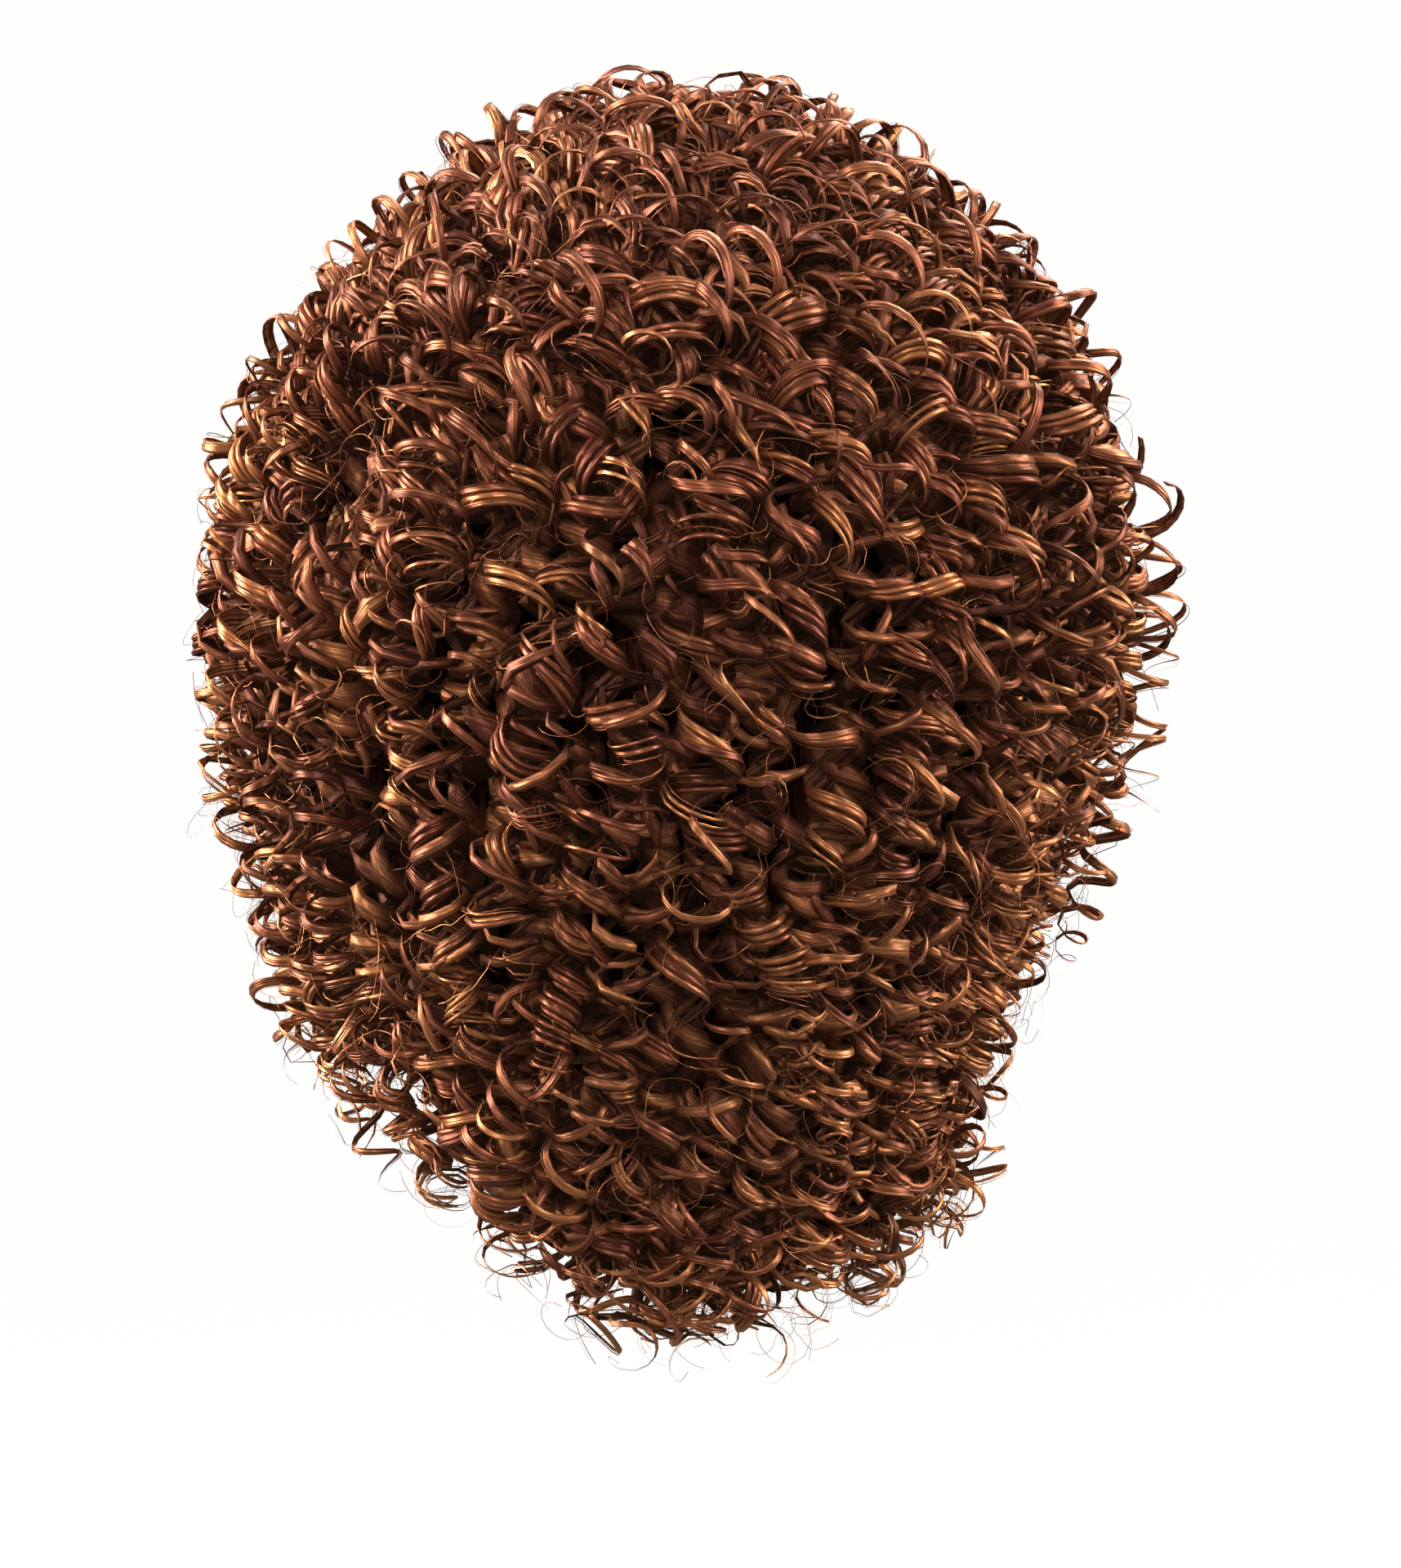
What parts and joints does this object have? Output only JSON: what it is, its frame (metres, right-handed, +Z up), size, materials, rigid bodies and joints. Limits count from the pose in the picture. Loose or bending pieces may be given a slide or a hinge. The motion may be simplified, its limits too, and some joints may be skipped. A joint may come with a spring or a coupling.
{
  "type": "wig",
  "caption": "Short full wig of dense shiny corkscrew curls in dark auburn with golden brown tips, sewn in tiers on a thin stretch cap that is open for the head and face.",
  "frame": {"origin": "the point inside the crown of the cap that rests on the top of the wearer's head", "axes": "+Z up, the face looks along -Y, the wearer's left is +X"},
  "size_m": [0.279, 0.278, 0.341],
  "materials": {
    "cap_net": "dark stretch net with sewn weft rows",
    "curl_fibre": "glossy synthetic hair fibre, dark auburn with golden brown tips"
  },
  "bodies": {
    "root": {"wig_cap": "cap_net", "crown_curls": "curl_fibre", "upper_curls": "curl_fibre", "middle_curls": "curl_fibre", "lower_curls": "curl_fibre", "nape_curls": "curl_fibre", "fringe_curls": "curl_fibre"}
  },
  "joints": []
}
